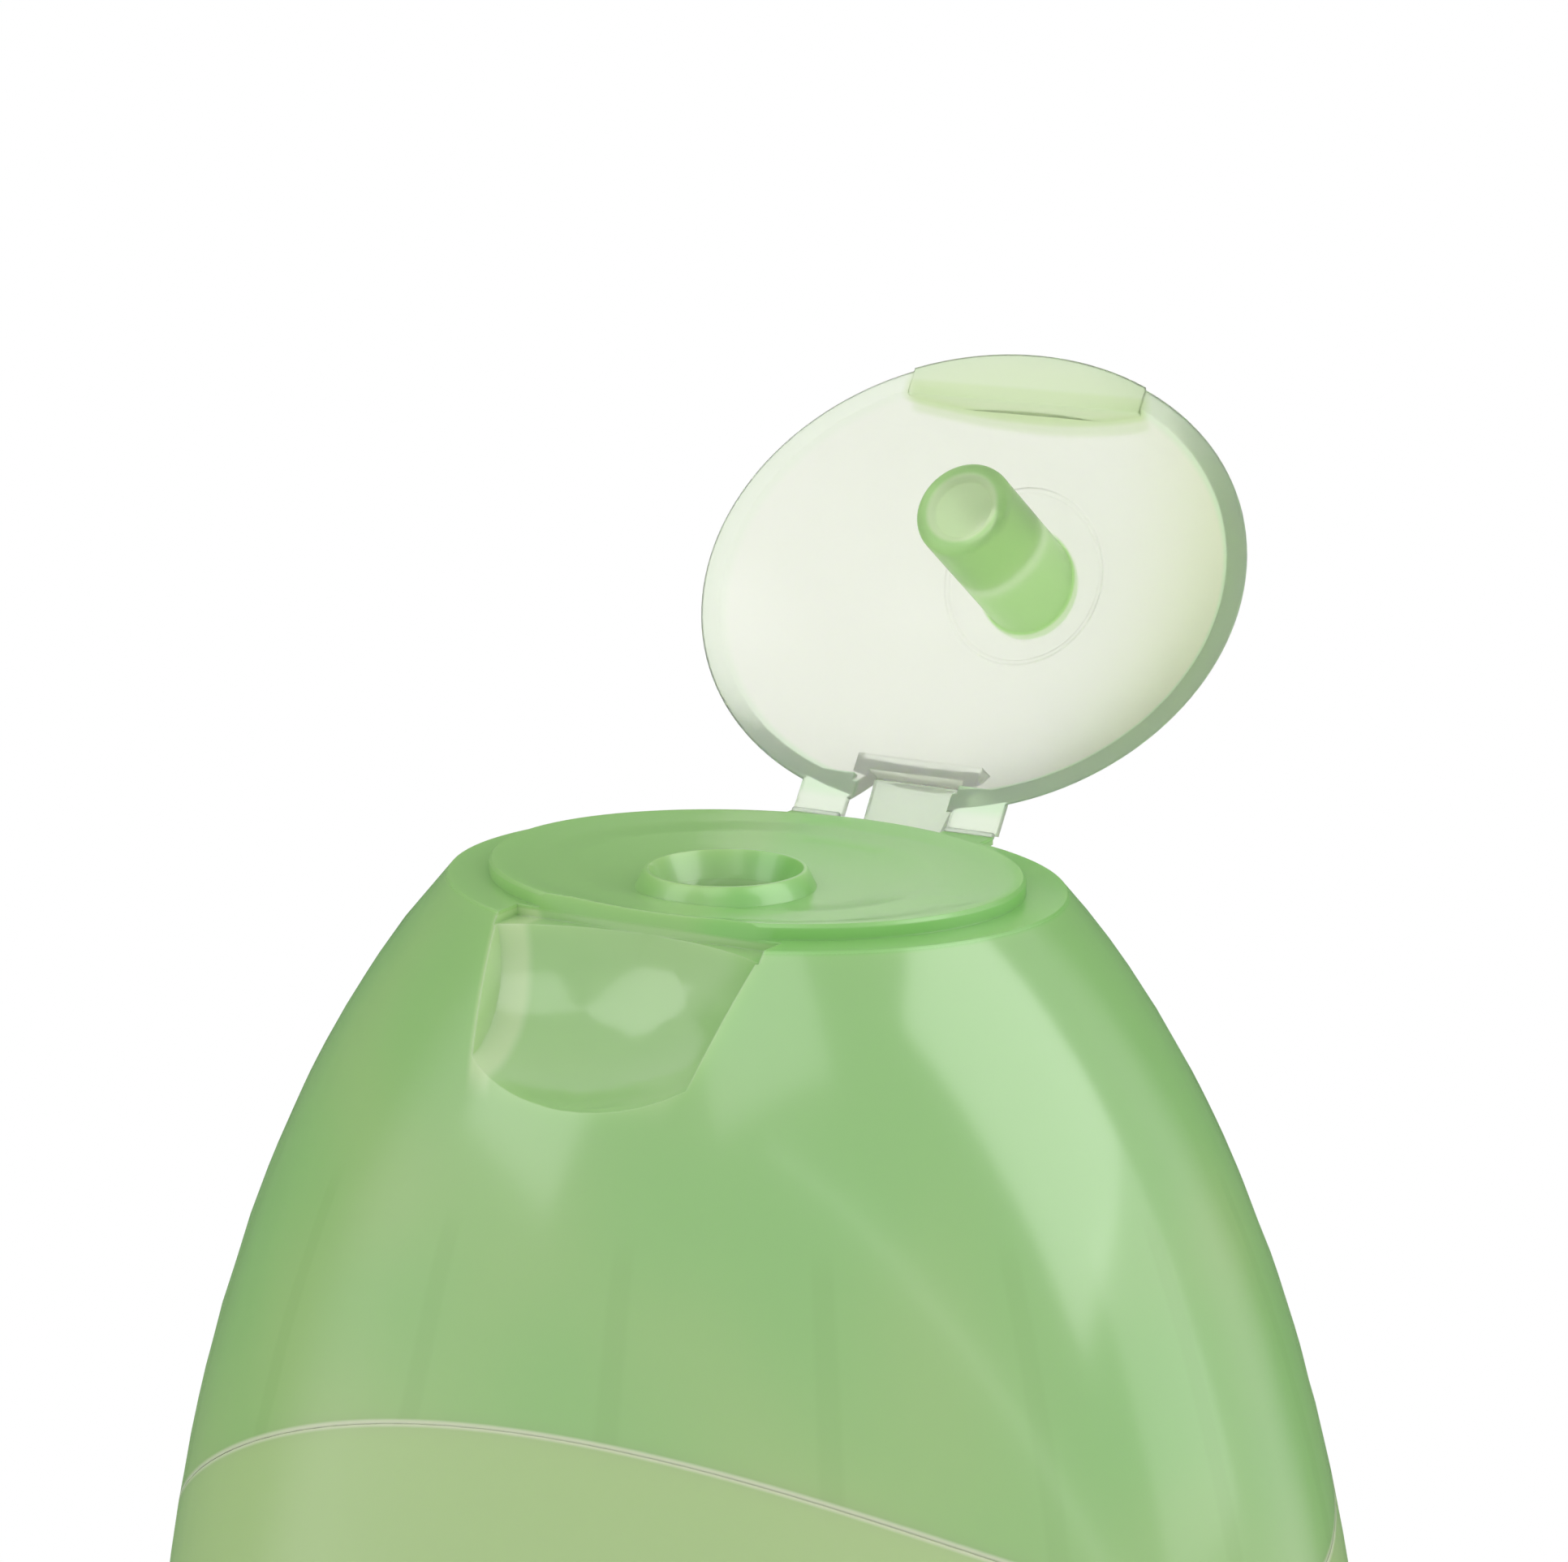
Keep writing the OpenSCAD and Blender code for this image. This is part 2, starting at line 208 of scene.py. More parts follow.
def new_piece(name, mesh_bm, body, material):
    """A smooth piece that rides on a body."""
    mesh = bpy.data.meshes.new(name)
    bmesh.ops.recalc_face_normals(mesh_bm, faces=mesh_bm.faces)
    mesh_bm.to_mesh(mesh)
    mesh_bm.free()
    piece = bpy.data.objects.new(name, mesh)
    bpy.context.scene.collection.objects.link(piece)
    piece.data.materials.append(material)
    for face in piece.data.polygons:
        face.use_smooth = True
    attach(piece, body)
    return piece


class Oval:
    """A true oval shell: its middle, its three half sizes and the turn that brings places to it."""

    def __init__(self, middle, halves, turn=None):
        self.middle = Vector(middle)
        self.halves = Vector(halves)
        self.turn = turn or Matrix.Identity(4)

    def outward(self, place):
        """The direction straight out of the shell at a place, and how far the place stands off it."""
        spot = self.turn @ place - self.middle
        scaled = Vector(c / h for c, h in zip(spot, self.halves))
        slope = Vector(c / h for c, h in zip(scaled, self.halves))
        away = (scaled.length_squared - 1) / max(2 * slope.length, 1e-9)
        return (self.turn.to_3x3().inverted() @ slope).normalized(), away


def dome(sizes, inset, turn=None):
    """The dome that cap and lid share, moved in by a wall."""
    half = sizes.width / 2
    return Oval((0, 0, sizes.widest), (half - inset, half * sizes.oval - inset, sizes.dome - inset), turn)


def merged(node):
    """A CAD node's faces with their doubled corners merged."""
    bm = bmesh.new()
    bm.from_mesh(frame["nodes"][node].data)
    bmesh.ops.remove_doubles(bm, verts=bm.verts, dist=0.002 * MM)
    bmesh.ops.dissolve_degenerate(bm, edges=bm.edges, dist=0.001 * MM)
    return bm


def polished(bm, name, node, material, ovals, sharp=math.radians(32)):
    """A piece in a node's place, shaded as the true ovals where its corners lie on them."""
    for edge in bm.edges:
        edge.smooth = len(edge.link_faces) == 2 and edge.calc_face_angle(0.0) < sharp
    mesh = bpy.data.meshes.new(name)
    bm.to_mesh(mesh)
    bm.free()
    for face in mesh.polygons:
        face.use_smooth = True
    normals = [Vector(corner.vector) for corner in mesh.corner_normals]
    for oval in ovals:
        found = [oval.outward(vertex.co) for vertex in mesh.vertices]
        for face in mesh.polygons:
            if any(abs(found[i][1]) > ON_SHELL for i in face.vertices):
                continue
            facing = face.normal.dot(found[face.vertices[0]][0])
            if abs(facing) < 0.95:
                continue
            for loop, i in zip(face.loop_indices, face.vertices):
                normals[loop] = found[i][0] * math.copysign(1.0, facing)
    mesh.normals_split_custom_set([tuple(n) for n in normals])
    piece = bpy.data.objects.new(name, mesh)
    bpy.context.scene.collection.objects.link(piece)
    mesh.materials.append(material)
    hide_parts(node)
    bodies = frame["record"]["behaviour"]["bodies"]
    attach(piece, next(body for body, nodes in bodies.items() if node in nodes))
    return piece


def close_seam(bm, sizes):
    """Brings the cap's lower edge down to the bottle, where the moulding really presses on it."""
    outer = dome(sizes, 0)
    middle = Vector((sizes.seam_middle, 0, LEDGE_Z - sizes.seam_drop - sizes.seam_radius))
    edge_radius = sizes.seam_radius + sizes.seam_gap
    deck_depth = 20 * MM
    for vert in bm.verts:
        out = vert.co - middle
        out.y = 0
        if abs(out.length - edge_radius) > 0.004 * MM or vert.co.z > LEDGE_Z - deck_depth:
            continue
        on_dome = abs(outer.outward(vert.co)[1]) < ON_SHELL
        vert.co -= out.normalized() * sizes.seam_gap
        if on_dome:
            way, away = outer.outward(vert.co)
            vert.co -= way * away


def round_bar(name, body, material, middle, length, radius):
    """A short round bar along X with rounded ends."""
    bm = bmesh.new()
    turn = Matrix.Translation(middle) @ Matrix.Rotation(math.radians(90), 4, "Y")
    bmesh.ops.create_cone(
        bm, cap_ends=True, segments=24, radius1=radius, radius2=radius, depth=length, matrix=turn)
    rims = [e for e in bm.edges if len(e.link_faces) == 2 and e.calc_face_angle(0.0) > 1.0]
    bmesh.ops.bevel(bm, geom=rims, offset=radius * 0.4, segments=3, affect="EDGES", profile=0.5, material=-1)
    return new_piece(name, bm, body, material)


# Finishes

def seam_highlight(finish, x, z, sizes):
    """1 on the painted highlight, a thin pale line along the arched parting line."""
    across = x - sizes.seam_middle
    down = z - (LEDGE_Z - sizes.seam_drop - sizes.seam_radius)
    away = finish.maths("SQRT", across * across + down * down) - sizes.seam_radius
    return finish.band(away, 0.05 * MM, 0.08 * MM, 0.22 * MM)


def fine_surface(finish, waves_scale, waves_height, edge, stretch=(1.0, 1.0, 1.0)):
    """Slow waves of the moulded wall under a very fine grain, with every edge eased by that radius."""
    grain = finish.noise(9000.0, 3.0)
    waves = finish.noise(waves_scale, 1.0, stretch)
    eased = finish.node("ShaderNodeBevel", {"samples": 6}, {"Radius": edge}).outputs[0]
    normal = finish.bump(waves, waves_height, 0.5, eased)
    return grain, finish.bump(grain, 0.000003, 0.6, normal)


def inner_ribs(finish, x, y, drop, sizes):
    """1 where an upright rib inside the cap shows faintly through its wall."""
    turn = finish.maths("ARCTAN2", x, -y / sizes.oval) / math.radians(sizes.rib_step)
    beside = finish.maths("FRACT", turn) - 0.5
    rib = 1.0 - finish.step(finish.maths("ABSOLUTE", beside), 0.035, 0.075)
    return rib * finish.step(drop, 15.0 * MM, 17.5 * MM)


def scoop_painted_light(finish, x, y, drop, deck, sizes):
    """Painted light in the thumb scoop: its floor painted paler, and a painted highlight as a pale strip along its
    left wall.
    """
    over_foot = sizes.scoop_drop - drop
    side = sizes.scoop_foot + (sizes.scoop_half - sizes.scoop_foot) * (over_foot / sizes.scoop_drop)
    front = finish.step(-y, 10.0 * MM, 12.0 * MM) * finish.step(over_foot, -0.6 * MM, 1.6 * MM)
    front = front * (1.0 - deck)
    past_side = finish.maths("ABSOLUTE", x) - side
    scoop_light = front * (1.0 - finish.step(past_side, -1.2 * MM, 0.3 * MM))
    strip = front * finish.band(x + side, 0.7 * MM, 0.5 * MM, 0.7 * MM)
    return scoop_light, strip


def moulded_green(colours, sizes):
    """The cap's plastic: clouds, ribs, painted shading and a painted highlight on the deck, painted light in the
    scoop and the painted highlight along the parting line.
    """
    finish = Finish("moulded green plastic")
    x, y, z = finish.split(finish.spot())
    drop = LEDGE_Z - z
    clouds = finish.step(finish.noise(26.0, 2.0), 0.38, 0.68)
    deck = finish.step(z, LEDGE_Z - 0.35 * MM, LEDGE_Z - 0.05 * MM)
    deck_left_highlight = finish.step(0.9 * x + 0.3 * y, 1.0 * MM, -2.0 * MM)
    scoop_light, strip = scoop_painted_light(finish, x, y, drop, deck, sizes)
    colour = finish.mix(clouds, colours.green, colours.olive)
    colour = finish.mix(inner_ribs(finish, x, y, drop, sizes) * 0.12, colour, colours.shade)
    # Painted shading: the deck is painted a fuller, darker green, with an olive painted highlight on its left side
    colour = finish.mix(deck * 0.85, colour, finish.mix(deck_left_highlight * 0.45, colours.deck, colours.olive))
    # Painted light: the scoop's floor paler and a painted highlight strip on its left wall
    colour = finish.mix(scoop_light * 0.12, colour, colours.pale_highlight)
    colour = finish.mix(strip * 0.4, colour, colours.pale_highlight)
    # Painted highlight along the parting line
    colour = finish.mix(seam_highlight(finish, x, z, sizes) * 0.9, colour, colours.pale_highlight)
    grain, normal = fine_surface(finish, 120.0, 0.00003, 0.15 * MM)
    return finish.plastic(
        Base_Color=colour, Roughness=0.14 + 0.06 * grain + 0.14 * deck, IOR=1.5, Normal=normal,
        Coat_Weight=0.4, Coat_Roughness=0.12, Coat_IOR=1.5,
        Subsurface_Weight=0.3, Subsurface_Radius=(0.8, 1.0, 0.55), Subsurface_Scale=0.003,
    )


def blown_green(colours, sizes):
    """The blown bottle's plastic with the body wash behind it."""
    finish = Finish("blown green plastic")
    x, y, z = finish.split(finish.spot())
    clouds = finish.step(finish.noise(18.0, 2.0, (1.0, 1.0, 0.4)), 0.38, 0.68)
    colour = finish.mix(clouds, colours.wash, colours.wash_light)
    # Painted highlight along the parting line
    colour = finish.mix(seam_highlight(finish, x, z, sizes) * 0.9, colour, colours.pale_highlight)
    grain, normal = fine_surface(finish, 90.0, 0.00005, 0.1 * MM, (1.0, 1.0, 0.3))
    return finish.plastic(
        Base_Color=colour, Roughness=0.16 + 0.06 * grain, IOR=1.5, Normal=normal,
        Coat_Weight=0.4, Coat_Roughness=0.14, Coat_IOR=1.5,
        Subsurface_Weight=0.3, Subsurface_Radius=(0.8, 1.0, 0.55), Subsurface_Scale=0.003,
    )


def plug_marks(finish, x, y, z):
    """The plug and its tip, whose painted light makes it paler, in the shut lid's places."""
    beside = y + 3.6 * MM
    out = finish.maths("SQRT", x * x + beside * beside)
    plug = 1.0 - finish.step(out, 3.45 * MM, 3.7 * MM)
    tip = 1.0 - finish.step(out, 2.3 * MM, 2.7 * MM)
    return plug, tip * (1.0 - finish.step(z, -0.5 * MM, 0.5 * MM))


def rim_shade(finish, x, y, z):
    """Painted shading of the lid's lower rim: greener towards the right and the back, fainter on the straps."""
    low = 1.0 - finish.step(z, 0.28 * MM, 0.9 * MM)
    side = finish.step(0.75 * x + 0.66 * y, -10.0 * MM, 12.0 * MM)
    straps = finish.step(y, 15.6 * MM, 16.6 * MM)
    return low * (0.25 + 0.75 * side) * (1.0 - 0.6 * straps)


def lip_mark(finish, x, y):
    """The thumb lip with one deeper band along it."""
    inside = 1.0 - finish.step(finish.maths("ABSOLUTE", x), 8.6 * MM, 9.4 * MM)
    lip = finish.step(-y, 12.75 * MM, 13.0 * MM) * inside
    band = finish.band(-y, 13.6 * MM, 0.4 * MM, 0.4 * MM)
    return lip * (0.4 + 0.3 * band)


def lid_plastic(colours):
    """The thin lid with light behind it, and its plug; painted shading greens its right side and its rim, and
    painted light makes the plug's tip paler.
    """
    finish = Finish("thin lid plastic")
    x, y, z = finish.split(finish.moved(shut_from_open()))
    plug, tip = plug_marks(finish, x, y, z)
    # Painted shading: the lid turns greener towards its right side
    colour = finish.mix(finish.step(x, 4.0 * MM, 20.0 * MM), colours.lid_pale, colours.lid_right_shade)
    colour = finish.mix(rim_shade(finish, x, y, z), colour, colours.lid_rim)
    colour = finish.mix(lip_mark(finish, x, y), colour, colours.lid_lip)
    # The plug, with painted light on its tip
    colour = finish.mix(plug, colour, finish.mix(tip, colours.plug, colours.plug_tip))
    grain, normal = fine_surface(finish, 200.0, 0.00003, 0.2 * MM)
    return finish.plastic(
        Base_Color=colour, Roughness=0.28 + 0.06 * grain, IOR=1.3, Normal=normal,
        Transmission_Weight=0.85,
        Subsurface_Weight=1.0, Subsurface_Radius=(0.9, 1.0, 0.75), Subsurface_Scale=0.004,
    )


def film_plastic(colours):
    """The thin plastic of the spring flap and the films it bends on."""
    finish = Finish("hinge film")
    colour = finish.mix(0.2 + 0.25 * finish.noise(300.0), colours.lid_pale, colours.lid_rim)
    grain, normal = fine_surface(finish, 400.0, 0.00001, 0.1 * MM)
    return finish.plastic(
        Base_Color=colour, Roughness=0.2 + 0.05 * grain, IOR=1.4, Normal=normal,
        Transmission_Weight=0.6,
        Subsurface_Weight=1.0, Subsurface_Radius=(0.9, 1.0, 0.75), Subsurface_Scale=0.002,
    )


class BottleColours(bpy.types.PropertyGroup):
    """The colours of the bottle's plastics."""
    green: bpy.props.FloatVectorProperty(
        name="Cap green", description="Main colour of the cap", subtype="COLOR",
        size=4, min=0, max=1, default=from_screen(150, 200, 124))
    olive: bpy.props.FloatVectorProperty(
        name="Cap olive", description="Warmer colour where light comes through the cap", subtype="COLOR",
        size=4, min=0, max=1, default=from_screen(170, 202, 134))
    wash: bpy.props.FloatVectorProperty(
        name="Bottle green", description="Main colour of the blown bottle", subtype="COLOR",
        size=4, min=0, max=1, default=from_screen(178, 208, 142))
    wash_light: bpy.props.FloatVectorProperty(
        name="Bottle light green", description="Paler colour of the blown bottle", subtype="COLOR",
        size=4, min=0, max=1, default=from_screen(186, 212, 150))
    # Painted shading of the deck's top
    deck: bpy.props.FloatVectorProperty(
        name="Deck shade", description="Fuller colour of the flat deck round the spout", subtype="COLOR",
        size=4, min=0, max=1, default=from_screen(136, 200, 108))
    shade: bpy.props.FloatVectorProperty(
        name="Rib shade", description="Colour where an inner rib shows through the wall", subtype="COLOR",
        size=4, min=0, max=1, default=from_screen(128, 170, 96))
    # Colour of the painted highlights: the parting line and the thumb scoop
    pale_highlight: bpy.props.FloatVectorProperty(
        name="Painted highlight", description="Colour of the thin line at the parting line", subtype="COLOR",
        size=4, min=0, max=1, default=from_screen(226, 238, 196))
    # Painted shading of the lid's right side
    lid_right_shade: bpy.props.FloatVectorProperty(
        name="Lid right shade", description="Warmer colour of the lid's right side", subtype="COLOR",
        size=4, min=0, max=1, default=from_screen(238, 246, 212))
    lid_pale: bpy.props.FloatVectorProperty(
        name="Lid", description="Colour of the thin lid with light behind it", subtype="COLOR",
        size=4, min=0, max=1, default=from_screen(250, 253, 240))
    # Painted shading of the lid's rim, also the random tint of the hinge films
    lid_rim: bpy.props.FloatVectorProperty(
        name="Lid rim", description="Colour of the lid seen edge on", subtype="COLOR",
        size=4, min=0, max=1, default=from_screen(206, 246, 198))
    lid_lip: bpy.props.FloatVectorProperty(
        name="Lid lip", description="Colour of the thicker thumb lip at the lid's front", subtype="COLOR",
        size=4, min=0, max=1, default=from_screen(200, 226, 160))
    plug: bpy.props.FloatVectorProperty(
        name="Plug", description="Colour of the plug", subtype="COLOR",
        size=4, min=0, max=1, default=from_screen(184, 226, 152))
    plug_tip: bpy.props.FloatVectorProperty(
        name="Plug tip", description="Colour of the plug's tip, where more light comes through",
        subtype="COLOR", size=4, min=0, max=1, default=from_screen(244, 253, 222))


class BottleSizes(bpy.types.PropertyGroup):
    """The sizes that the finishes and the true ovals follow, the same as in the solids."""
    width: bpy.props.FloatProperty(
        name="Width", description="Largest width of the bottle", unit="LENGTH", default=82.2 * MM)
    widest: bpy.props.FloatProperty(
        name="Widest level", description="Height of the widest level above the floor", unit="LENGTH",
        default=100 * MM)
    dome: bpy.props.FloatProperty(
        name="Dome", description="Height of the whole dome over the widest level", unit="LENGTH",
        default=78.1 * MM)
    lower: bpy.props.FloatProperty(
        name="Lower oval", description="Half height of the oval under the widest level", unit="LENGTH",
        default=170 * MM)
    cap_wall: bpy.props.FloatProperty(
        name="Cap wall", description="Wall thickness of the cap", unit="LENGTH", default=1.6 * MM)
    lid_wall: bpy.props.FloatProperty(
        name="Lid wall", description="Wall thickness of the lid", unit="LENGTH", default=1.05 * MM)
    scoop_half: bpy.props.FloatProperty(
        name="Scoop half width", description="Half width of the thumb scoop at the ledge", unit="LENGTH",
        default=9.3 * MM)
    scoop_foot: bpy.props.FloatProperty(
        name="Scoop foot", description="Half width of the thumb scoop at its lowest point", unit="LENGTH",
        default=7 * MM)
    scoop_drop: bpy.props.FloatProperty(
        name="Scoop drop", description="Lowest point of the thumb scoop under the ledge", unit="LENGTH",
        default=9.2 * MM)
    oval: bpy.props.FloatProperty(
        name="Oval", description="Depth of the oval as a share of its width", default=0.84, min=0.5, max=1)
    rib_step: bpy.props.FloatProperty(
        name="Rib step", description="Degrees from one inner rib to the next", default=22.5, min=5)
    seam_middle: bpy.props.FloatProperty(
        name="Seam middle", description="Sideways place of the top of the arched parting line",
        unit="LENGTH", default=3.6 * MM)
    seam_drop: bpy.props.FloatProperty(
        name="Seam drop", description="Highest point of the parting line under the ledge",
        unit="LENGTH", default=26.9 * MM)
    seam_gap: bpy.props.FloatProperty(
        name="Seam gap", description="Gap in the solids between cap edge and bottle", unit="LENGTH",
        default=0.1 * MM)
    seam_radius: bpy.props.FloatProperty(
        name="Seam radius", description="Radius of the arched parting line", unit="LENGTH", default=53.3 * MM)


class StudioSizes(bpy.types.PropertyGroup):
    """Camera, floor and lamps."""
    camera_place: bpy.props.FloatVectorProperty(
        name="Camera place", description="Where the camera stands", subtype="TRANSLATION", unit="LENGTH",
        size=3, default=(0.1558, -0.265162, 0.244508))
    camera_turn: bpy.props.FloatVectorProperty(
        name="Camera turn", description="How the camera is turned", subtype="EULER", unit="ROTATION",
        size=3, default=tuple(math.radians(a) for a in (77.17143, -0.14514, 30.14284)))
    lens: bpy.props.FloatProperty(
        name="Lens", description="Focal length in millimetres on a 36 mm wide picture",
        default=117.006, min=10)
    fill: bpy.props.FloatProperty(
        name="Fill", description="Strength of the even light from all round", default=0.78, min=0)
    card: bpy.props.FloatVectorProperty(
        name="Card", description="Colour of the card behind the bottle that keeps its edges dark",
        subtype="COLOR", size=4, min=0, max=1, default=(0.18, 0.3, 0.15, 1.0))
    shine: bpy.props.FloatProperty(
        name="Shine", description="Brightness of the long soft panels that the gloss shows",
        default=3.0, min=0)
    right_box: bpy.props.FloatProperty(
        name="Right box", description="Brightness of the soft box on the right", default=0.8, min=0)
    left_box: bpy.props.FloatProperty(
        name="Left box", description="Brightness of the soft box on the left", default=0.6, min=0)


def soft_box(name, place, target, width, height, brightness, rays, roll=0.0):
    """A rectangular area lamp of an even brightness, turned to the target, for one kind of ray."""
    lamp = bpy.data.lights.new(name, "AREA")
    lamp.shape = "RECTANGLE"
    lamp.size = width
    lamp.size_y = height
    lamp.energy = brightness * math.pi * width * height
    holder = bpy.data.objects.new(name, lamp)
    bpy.context.scene.collection.objects.link(holder)
    turn = (Vector(target) - Vector(place)).to_track_quat("-Z", "Y").to_matrix().to_4x4()
    holder.matrix_world = Matrix.Translation(place) @ turn @ Matrix.Rotation(math.radians(roll), 4, "Z")
    holder.visible_diffuse = rays == "diffuse"
    holder.visible_glossy = rays == "glossy"
    holder.visible_transmission = False
    return holder


def green_card(name, start, span, radius, colour):
    """A curved card that only the gloss shows, from that azimuth on, fading out at both ends."""
    bm = bmesh.new()
    card_height = 0.34
    foot = around(start, 0, radius, (0, 0, MM))
    low, high = bm.verts.new(foot), bm.verts.new(foot + Vector((0, 0, card_height)))
    edge = bm.edges.new((low, high))
    bmesh.ops.spin(
        bm, geom=[low, high, edge], angle=math.radians(span), steps=24, axis=(0, 0, 1), cent=(0, 0, 0))
    mesh = bpy.data.meshes.new(name)
    bm.to_mesh(mesh)
    bm.free()
    card = bpy.data.objects.new(name, mesh)
    bpy.context.scene.collection.objects.link(card)
    finish = Finish(name)
    x, y, z = finish.split(finish.spot())
    middle = math.radians(start + span / 2)
    across = x * math.cos(middle) + y * math.sin(middle)
    along = x * math.sin(middle) - y * math.cos(middle)
    away = finish.maths("ABSOLUTE", finish.maths("ARCTAN2", across, along))
    fade = finish.step(away, math.radians(span / 2 - 22), math.radians(span / 2 - 1))
    shown = finish.mix(fade, colour, (1.0, 1.0, 1.0, 1.0))
    tone = finish.node("ShaderNodeEmission", None, {"Color": shown, "Strength": 1.0})
    finish.node("ShaderNodeOutputMaterial", None, {"Surface": tone.outputs[0]})
    mesh.materials.append(finish.material)
    for ray in ("camera", "diffuse", "transmission", "volume_scatter", "shadow"):
        setattr(card, "visible_" + ray, False)
    return card


def around(azimuth, elevation, distance, middle):
    """The point at that azimuth from the front towards the right, elevation and distance."""
    a, e = math.radians(azimuth), math.radians(elevation)
    way = Vector((math.sin(a) * math.cos(e), -math.cos(a) * math.cos(e), math.sin(e)))
    return Vector(middle) + way * distance


def white_room(scene, fill):
    """An even white world, at full white where the camera, the gloss or clear plastic sees it."""
    world = bpy.data.worlds.new("white room")
    scene.world = world
    world.use_nodes = True
    nodes, links = world.node_tree.nodes, world.node_tree.links
    nodes.clear()
    path = nodes.new("ShaderNodeLightPath")
    seen = path.outputs["Is Camera Ray"]
    for ray in ("Is Glossy Ray", "Is Transmission Ray"):
        both = nodes.new("ShaderNodeMath")
        both.operation = "ADD"
        both.use_clamp = True
        links.new(seen, both.inputs[0])
        links.new(path.outputs[ray], both.inputs[1])
        seen = both.outputs[0]
    level = nodes.new("ShaderNodeMapRange")
    level.inputs["To Min"].default_value = fill
    level.inputs["To Max"].default_value = 1.0
    links.new(seen, level.inputs["Value"])
    sky = nodes.new("ShaderNodeBackground")
    sky.inputs["Color"].default_value = (1, 1, 1, 1)
    links.new(level.outputs[0], sky.inputs["Strength"])
    end = nodes.new("ShaderNodeOutputWorld")
    links.new(sky.outputs[0], end.inputs["Surface"])


def white_floor(scene):
    """A pale floor that takes the bottle's shadow and turns into the white room farther out."""
    bm = bmesh.new()
    bmesh.ops.create_circle(bm, cap_ends=True, segments=96, radius=1.2)
    mesh = bpy.data.meshes.new("floor")
    bm.to_mesh(mesh)
    bm.free()
    floor = bpy.data.objects.new("floor", mesh)
    scene.collection.objects.link(floor)
    finish = Finish("floor")
    x, y, z = finish.split(finish.spot())
    far = finish.step(finish.maths("SQRT", x * x + y * y), 0.12, 0.26)
    rays = finish.node("ShaderNodeLightPath")
    seen = finish.maths("ADD", rays.outputs["Is Camera Ray"], rays.outputs["Is Glossy Ray"])
    seen = finish.maths("ADD", seen, rays.outputs["Is Transmission Ray"], clamp=True)
    plain = finish.node("ShaderNodeBsdfDiffuse", None, {"Color": (0.86, 0.86, 0.86, 1)})
    white = finish.node("ShaderNodeEmission", None, {"Color": (1, 1, 1, 1), "Strength": 1.0})
    both = finish.node("ShaderNodeMixShader", None, {0: far * seen, 1: plain.outputs[0], 2: white.outputs[0]})
    finish.node("ShaderNodeOutputMaterial", None, {"Surface": both.outputs[0]})
    mesh.materials.append(finish.material)


class BOTTLE_OT_stage(bpy.types.Operator):
    """Camera, floor, world and soft boxes"""
    bl_idname = "bottle.stage"
    bl_label = "Stage"

    def execute(self, context):
        studio = context.scene.bottle_studio
        scene = context.scene
        scene.view_settings.view_transform = "Standard"
        camera_data = bpy.data.cameras.new("camera")
        camera_data.lens = studio.lens
        camera_data.sensor_width = 36
        camera_data.clip_start = 0.01
        camera = bpy.data.objects.new("camera", camera_data)
        scene.collection.objects.link(camera)
        camera.location = studio.camera_place
        camera.rotation_euler = studio.camera_turn
        scene.camera = camera

        white_room(scene, studio.fill)
        white_floor(scene)
        middle = (0, 0, LEDGE_Z - 0.02)
        lamp_distance = 0.7
        shine = studio.shine
        lamps = (
            ("right box", 100, 30, 0.5, 0.5, studio.right_box, "diffuse", 0),
            ("left box", -40, 35, 0.5, 0.5, studio.left_box, "diffuse", 0),
            ("right panel", 104, 40, 0.5, 0.55, shine, "glossy", 12),
            ("low panel", 114, 9, 0.34, 0.3, shine * 0.4, "glossy", 0),
            ("left panel", -44, 38, 0.34, 0.42, shine * 0.6, "glossy", 0),
            ("front panel", 10, 54, 0.34, 0.34, shine * 0.5, "glossy", 30),
            ("edge strip", 57, 21, 0.022, 1.1, shine * 0.6, "glossy", 57),
        )
        for name, azimuth, elevation, width, height, brightness, rays, roll in lamps:
            place = around(azimuth, elevation, lamp_distance, middle)
            soft_box(name, place, middle, width, height, brightness, rays, roll)
        green_card("back card", 140, 160, 0.3, studio.card)
        return {"FINISHED"}


class BOTTLE_OT_bottle(bpy.types.Operator):
    """Finish of the blown bottle"""
    bl_idname = "bottle.bottle"
    bl_label = "Bottle"

    def execute(self, context):
        scene = context.scene
        sizes = scene.bottle_sizes
        half = sizes.width / 2
        lower = Oval((0, 0, sizes.widest), (half, half * sizes.oval, sizes.lower))
        finish = blown_green(scene.bottle_colours, sizes)
        ovals = (lower, dome(sizes, 0))
        polished(merged("bottle"), "blown_bottle", "bottle", finish, ovals)
        return {"FINISHED"}


class BOTTLE_OT_cap(bpy.types.Operator):
    """Finish of the cap"""
    bl_idname = "bottle.cap"
    bl_label = "Cap"

    def execute(self, context):
        scene = context.scene
        sizes = scene.bottle_sizes
        bm = merged("cap")
        close_seam(bm, sizes)
        finish = moulded_green(scene.bottle_colours, sizes)
        ovals = (dome(sizes, 0), dome(sizes, sizes.cap_wall))
        polished(bm, "moulded_cap", "cap", finish, ovals)
        return {"FINISHED"}


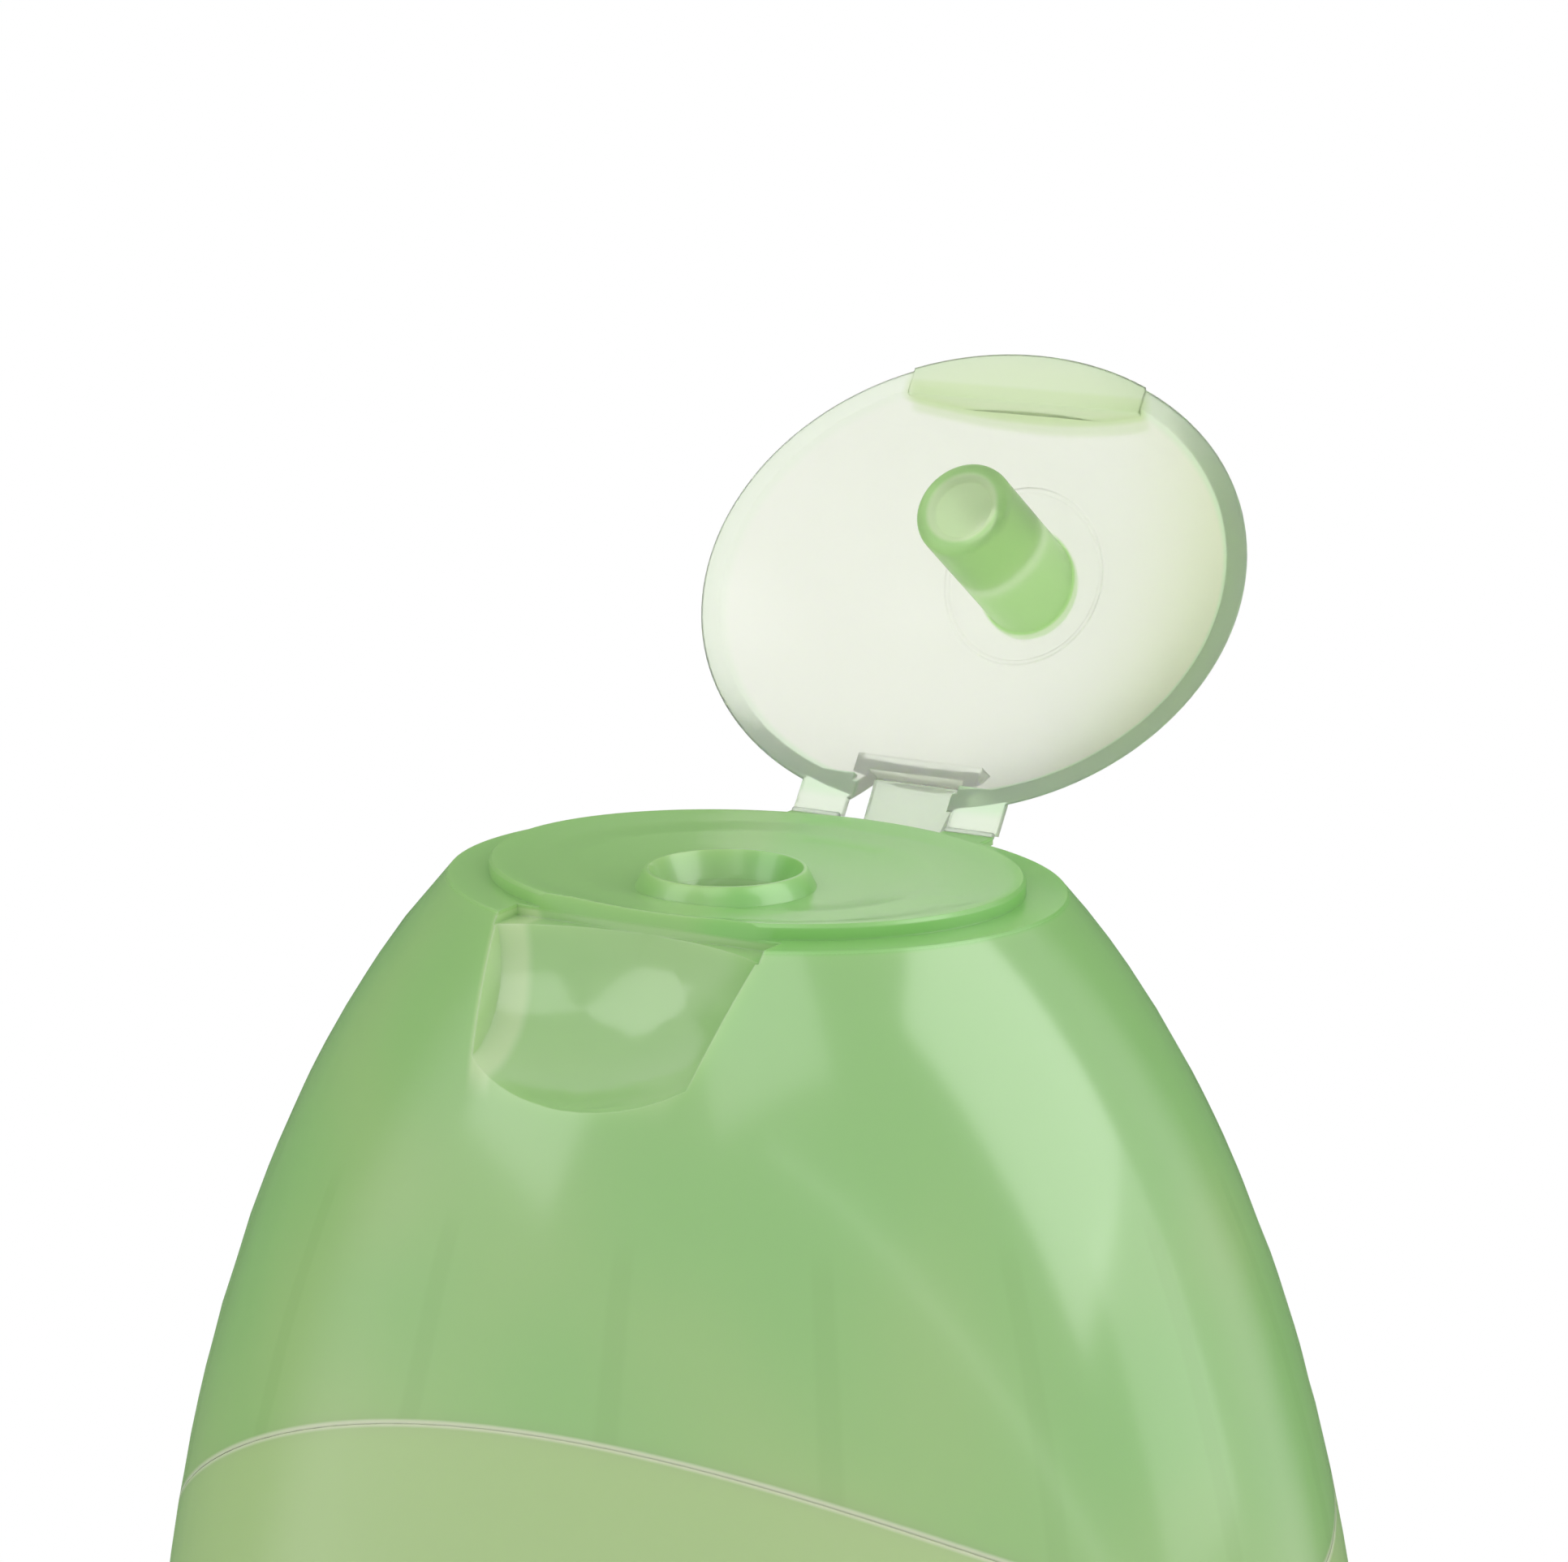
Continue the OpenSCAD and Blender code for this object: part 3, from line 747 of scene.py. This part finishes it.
class BOTTLE_OT_lid(bpy.types.Operator):
    """Finish of the lid and the spring flap"""
    bl_idname = "bottle.lid"
    bl_label = "Lid"

    def execute(self, context):
        scene = context.scene
        colours, sizes = scene.bottle_colours, scene.bottle_sizes
        back = Matrix.Translation((0, 0, LEDGE_Z)) @ shut_from_open()
        ovals = (dome(sizes, 0, back), dome(sizes, sizes.lid_wall, back))
        polished(merged("lid"), "flip_lid", "lid", lid_plastic(colours), ovals)
        film = film_plastic(colours)
        flap = frame["nodes"]["spring_flap"]
        flap.data.materials.clear()
        flap.data.materials.append(film)
        for side, name in ((1, "right_strap_film"), (-1, "left_strap_film")):
            middle = HINGE_LINE + Vector((side * 5.7 * MM, 0, -0.1 * MM))
            round_bar(name, "bottle_and_cap", film, middle, 3.5 * MM, 0.24 * MM)
        round_bar("flap_foot_film", "bottle_and_cap", film, FLAP_FOOT, 5.3 * MM, 0.42 * MM)
        return {"FINISHED"}


class BOTTLE_PT_panel(bpy.types.Panel):
    """The bottle's pieces"""
    bl_idname = "BOTTLE_PT_panel"
    bl_label = "Body Wash Bottle"
    bl_space_type = "VIEW_3D"
    bl_region_type = "UI"
    bl_category = "Bottle"

    def draw(self, context):
        for operator in OPERATORS:
            self.layout.operator(operator.bl_idname)


OPERATORS = (BOTTLE_OT_stage, BOTTLE_OT_bottle, BOTTLE_OT_cap, BOTTLE_OT_lid)
GROUPS = {"bottle_colours": BottleColours, "bottle_sizes": BottleSizes, "bottle_studio": StudioSizes}


def register():
    for group in GROUPS.values():
        bpy.utils.register_class(group)
    for name, group in GROUPS.items():
        setattr(bpy.types.Scene, name, bpy.props.PointerProperty(type=group))
    for operator in OPERATORS:
        bpy.utils.register_class(operator)
    bpy.utils.register_class(BOTTLE_PT_panel)


def unregister():
    bpy.utils.unregister_class(BOTTLE_PT_panel)
    for operator in reversed(OPERATORS):
        bpy.utils.unregister_class(operator)
    for name in GROUPS:
        delattr(bpy.types.Scene, name)
    for group in reversed(list(GROUPS.values())):
        bpy.utils.unregister_class(group)


def main():
    register()
    bpy.ops.bottle.stage()
    bpy.ops.bottle.bottle()
    bpy.ops.bottle.cap()
    bpy.ops.bottle.lid()


if __name__ == "__main__":
    main()
